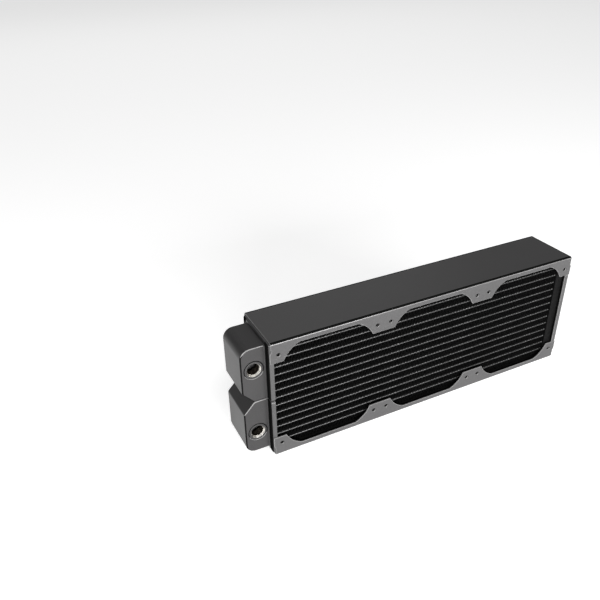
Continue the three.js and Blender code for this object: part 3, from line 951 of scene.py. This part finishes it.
class RADIATOR_OT_fins(bpy.types.Operator):
    """Fold the fin strips between the tubes"""

    bl_idname = "radiator.fins"
    bl_label = "Folded Fins"

    def strips(self, graph, inputs):
        """A strip as a fine grid, lifted into folds, thickened and repeated from row to row."""
        count = inputs["Length"] / inputs["Fold"] * 8.0
        grid = graph.add("GeometryNodeMeshGrid", {}, {
            "Size X": inputs["Length"], "Size Y": inputs["Depth"],
            "Vertices X": count + 1.0, "Vertices Y": 2})
        place = graph.add("GeometryNodeInputPosition")
        parts = graph.add("ShaderNodeSeparateXYZ", {}, {0: place}, None)
        along = Flow(graph, parts.outputs[0]) + inputs["Length"] / 2.0
        wave = along.math("PINGPONG", along, inputs["Fold"] / 2.0) / (inputs["Fold"] / 4.0) - 1.0
        steep = wave * inputs["Crest"]
        level = steep.math("MAXIMUM", steep.math("MINIMUM", steep, 1.0), -1.0)
        lift = graph.add("ShaderNodeCombineXYZ", {}, {2: level * inputs["Rise"]})
        folded = graph.add("GeometryNodeSetPosition", {}, {"Geometry": grid, "Offset": lift})
        raised = graph.add("GeometryNodeExtrudeMesh", {"mode": "FACES"}, {
            "Mesh": folded, "Offset Scale": inputs["Sheet"], "Individual": False})
        under = graph.add("GeometryNodeFlipFaces", {}, {"Mesh": folded})
        sheet = graph.add("GeometryNodeJoinGeometry", {}, {0: raised})
        graph.tree.links.new(under.socket, sheet.socket.node.inputs[0])
        sheet = graph.add("GeometryNodeMergeByDistance", {}, {"Geometry": sheet, "Distance": 0.001 * MM})
        rows = graph.add("GeometryNodeMeshLine", {}, {
            "Count": inputs["Rows"], "Start Location": graph.add("ShaderNodeCombineXYZ", {}, {
                0: inputs["Middle"], 2: inputs["First Row"]}),
            "Offset": graph.add("ShaderNodeCombineXYZ", {}, {2: inputs["Row Pitch"]})})
        return graph.add("GeometryNodeInstanceOnPoints", {}, {"Points": rows, "Instance": sheet})

    def execute(self, context):
        sizes = context.scene.radiator_core_sizes
        for half, nodes in FINS.items():
            low, high = spread(nodes)
            one_low, one_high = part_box(nodes[0])
            rise = (one_high[2] - one_low[2]) / 2
            pitch = (high[2] - low[2] - 2 * rise) / (len(nodes) - 1)
            values = {
                "Length": float(high[0] - low[0]), "Depth": float(high[1] - low[1]),
                "Fold": float(sizes.fold), "Crest": float(sizes.crest), "Sheet": float(sizes.fin_sheet),
                "Rise": float(rise - sizes.fin_sheet), "Rows": len(nodes), "Row Pitch": float(pitch),
                "First Row": float(low[2] + rise), "Middle": float((low[0] + high[0]) / 2),
            }
            modelled(f"{half}_fin_strips", self.strips, values, nodes, "dull_fin_paint")
        return {"FINISHED"}


class RADIATOR_OT_solder(bpy.types.Operator):
    """Set a drop of solder where each fold meets a tube, on both faces"""

    bl_idname = "radiator.solder"
    bl_label = "Solder Drops"

    def drops(self, graph, inputs):
        """Small drops on a grid of points: one to each fold along a tube, one row to each tube's side."""
        drop = graph.add("GeometryNodeMeshIcoSphere", {}, {"Radius": 0.5, "Subdivisions": 1})
        size = graph.add("ShaderNodeCombineXYZ", {}, {
            0: inputs["Drop Length"], 1: inputs["Drop Height"] * 2.0, 2: inputs["Drop Height"] * 2.0})
        drop = graph.add("GeometryNodeTransform", {}, {"Geometry": drop, "Scale": size})
        line = graph.add("GeometryNodeMeshLine", {}, {
            "Count": inputs["Folds"],
            "Start Location": graph.add("ShaderNodeCombineXYZ", {}, {0: inputs["Start"]}),
            "Offset": graph.add("ShaderNodeCombineXYZ", {}, {0: inputs["Fold"]})})
        random_size = graph.add("FunctionNodeRandomValue", {"data_type": "FLOAT"}, {
            2: 0.55, 3: 1.25, "Seed": inputs["Seed"]}, 1)
        beads = graph.add("GeometryNodeInstanceOnPoints", {}, {
            "Points": line, "Instance": drop, "Scale": random_size})
        beads = graph.add("GeometryNodeRealizeInstances", {}, {0: beads})
        levels = graph.add("GeometryNodeMeshLine", {}, {
            "Count": inputs["Tubes"], "Start Location": graph.add("ShaderNodeCombineXYZ", {}, {
                1: inputs["Face"], 2: inputs["First Tube"]}),
            "Offset": graph.add("ShaderNodeCombineXYZ", {}, {2: inputs["Tube Pitch"]})})
        return graph.add("GeometryNodeInstanceOnPoints", {}, {"Points": levels, "Instance": beads})

    def execute(self, context):
        sizes = context.scene.radiator_core_sizes
        low, high = spread(TUBES)
        core_low, core_high = spread(FINS["upper"] + FINS["lower"])
        spacer_low, spacer_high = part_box("centre_spacer")
        thick = spacer_high[2] - spacer_low[2]
        pitch = (high[2] - low[2] - thick) / (len(TUBES) - 1)
        folds = int((core_high[0] - core_low[0]) / sizes.fold)
        edge = core_high[1] - 0.1 * MM
        for side, face in (("front", -1), ("rear", 1)):
            for over in SIDES:
                first_fold = 0.5 if over < 0 else 1.0
                values = {
                    "Folds": folds, "Fold": float(sizes.fold), "Face": float(face * edge),
                    "Start": float(core_low[0] + sizes.fold * first_fold),
                    "Tubes": len(TUBES), "Tube Pitch": float(pitch),
                    "First Tube": float(low[2] + thick / 2 + over * thick * 0.34),
                    "Drop Length": float(sizes.bead), "Drop Height": float(sizes.bead_height),
                    "Seed": sizes.seed + over + 3 * face,
                }
                name = f"{side}_solder_{'over' if over > 0 else 'under'}_tubes"
                # The drops on top of each tube take the painted highlight, those under it the painted shade.
                paint = "solder_paint" if over > 0 else "under_tube_paint"
                modelled(name, self.drops, values, [], paint)
        return {"FINISHED"}


class RADIATOR_OT_inner_core(bpy.types.Operator):
    """Paint the pieces of the core that keep the frame's own shape"""

    bl_idname = "radiator.inner_core"
    bl_label = "Inner Core"

    def execute(self, context):
        # Painted shade: these inner pieces take the near-black fin paint, so that the gaps beside the fins
        # read dark.
        for node in ("upper_tube_sheet", "lower_tube_sheet", "far_tube_sheet", "return_tank",
                     "top_core_plate", "bottom_core_plate"):
            obj = frame["nodes"][node]
            obj.data.materials.clear()
            obj.data.materials.append(finish("dull_fin_paint"))
        return {"FINISHED"}


class RADIATOR_OT_stage(bpy.types.Operator):
    """Set the floor, the lights and the camera"""

    bl_idname = "radiator.stage"
    bl_label = "Stage"

    def soft_light(self, name, place, aim, width, height, power):
        light = bpy.data.lights.new(name, "AREA")
        light.shape = "RECTANGLE"
        light.size = width
        light.size_y = height
        light.energy = power
        obj = bpy.data.objects.new(name, light)
        obj.location = place
        obj.rotation_euler = (Vector(aim) - Vector(place)).to_track_quat("-Z", "Y").to_euler()
        bpy.context.scene.collection.objects.link(obj)

    def execute(self, context):
        stage = context.scene.radiator_stage
        bm = bmesh.new()
        bmesh.ops.create_grid(bm, x_segments=8, y_segments=8, size=9.0)
        floor = new_object("floor", bm)
        floor.data.transform(Matrix.Translation((0.0, 0.0, CAD_BOX[0][2] - 0.05 * MM)))
        floor.data.materials.append(finish("studio_floor"))
        self.soft_light("key_light", (-0.15, -1.85, 0.40), (0.0, 0.0, 0.07), 2.0, 0.7, stage.key)
        self.soft_light("glint_light", (-0.93, -0.74, 0.68), (-0.19, 0.0, 0.07), 0.45, 0.45, stage.glint)
        self.soft_light("rim_light", (0.2, -0.62, 1.1), (-0.1, -0.03, 0.13), 0.5, 0.3, stage.rim)
        self.soft_light("back_light", (0.3, 2.6, 1.9), (0.0, 0.4, 0.0), 3.5, 1.6, stage.back)
        world = bpy.data.worlds.new("studio")
        world.use_nodes = True
        background = world.node_tree.nodes["Background"]
        background.inputs["Color"].default_value = (1.0, 1.0, 1.0, 1.0)
        background.inputs["Strength"].default_value = stage.sky
        context.scene.world = world
        camera = bpy.data.objects.new("camera", bpy.data.cameras.new("camera"))
        camera.data.lens = stage.lens
        camera.data.sensor_width = 36.0
        camera.data.clip_start = 0.01
        sight = Vector(stage.aim) - Vector(stage.camera)
        camera.location = stage.camera
        camera.rotation_mode = "QUATERNION"
        roll = Quaternion((0.0, 0.0, 1.0), stage.roll)
        camera.rotation_quaternion = sight.to_track_quat("-Z", "Y") @ roll
        context.scene.collection.objects.link(camera)
        context.scene.camera = camera
        context.scene.view_settings.view_transform = "Standard"
        return {"FINISHED"}


# ---------------------------------------------------------------- sidebar and registration


SETTINGS = {
    "radiator_panel_sizes": RadiatorPanelSizes,
    "radiator_tank_sizes": RadiatorTankSizes,
    "radiator_port_sizes": RadiatorPortSizes,
    "radiator_core_sizes": RadiatorCoreSizes,
    "radiator_finishes": RadiatorFinishes,
    "radiator_stage": RadiatorStage,
}

OPERATORS = (
    RADIATOR_OT_stage,
    RADIATOR_OT_inner_core,
    RADIATOR_OT_tubes,
    RADIATOR_OT_fins,
    RADIATOR_OT_solder,
    RADIATOR_OT_trays,
    RADIATOR_OT_tanks,
    RADIATOR_OT_port_collars,
    RADIATOR_OT_side_panels,
    RADIATOR_OT_end_bracket,
)


class RADIATOR_PT_sidebar(bpy.types.Panel):
    """Lists the pieces and their sizes"""

    bl_idname = "RADIATOR_PT_sidebar"
    bl_label = "Liquid Cooling Radiator"
    bl_space_type = "VIEW_3D"
    bl_region_type = "UI"
    bl_category = "Radiator"

    def draw(self, context):
        for operator in OPERATORS:
            self.layout.operator(operator.bl_idname)
        for name, group in SETTINGS.items():
            box = self.layout.box()
            for field in group.__annotations__:
                box.prop(getattr(context.scene, name), field)


def register():
    for name, group in SETTINGS.items():
        bpy.utils.register_class(group)
        setattr(bpy.types.Scene, name, PointerProperty(type=group))
    for operator in OPERATORS:
        bpy.utils.register_class(operator)
    bpy.utils.register_class(RADIATOR_PT_sidebar)


def unregister():
    bpy.utils.unregister_class(RADIATOR_PT_sidebar)
    for operator in reversed(OPERATORS):
        bpy.utils.unregister_class(operator)
    for name, group in reversed(SETTINGS.items()):
        delattr(bpy.types.Scene, name)
        bpy.utils.unregister_class(group)


def main():
    register()
    for operator in OPERATORS:
        group, name = operator.bl_idname.split(".")
        getattr(getattr(bpy.ops, group), name)()


if __name__ == "__main__":
    main()
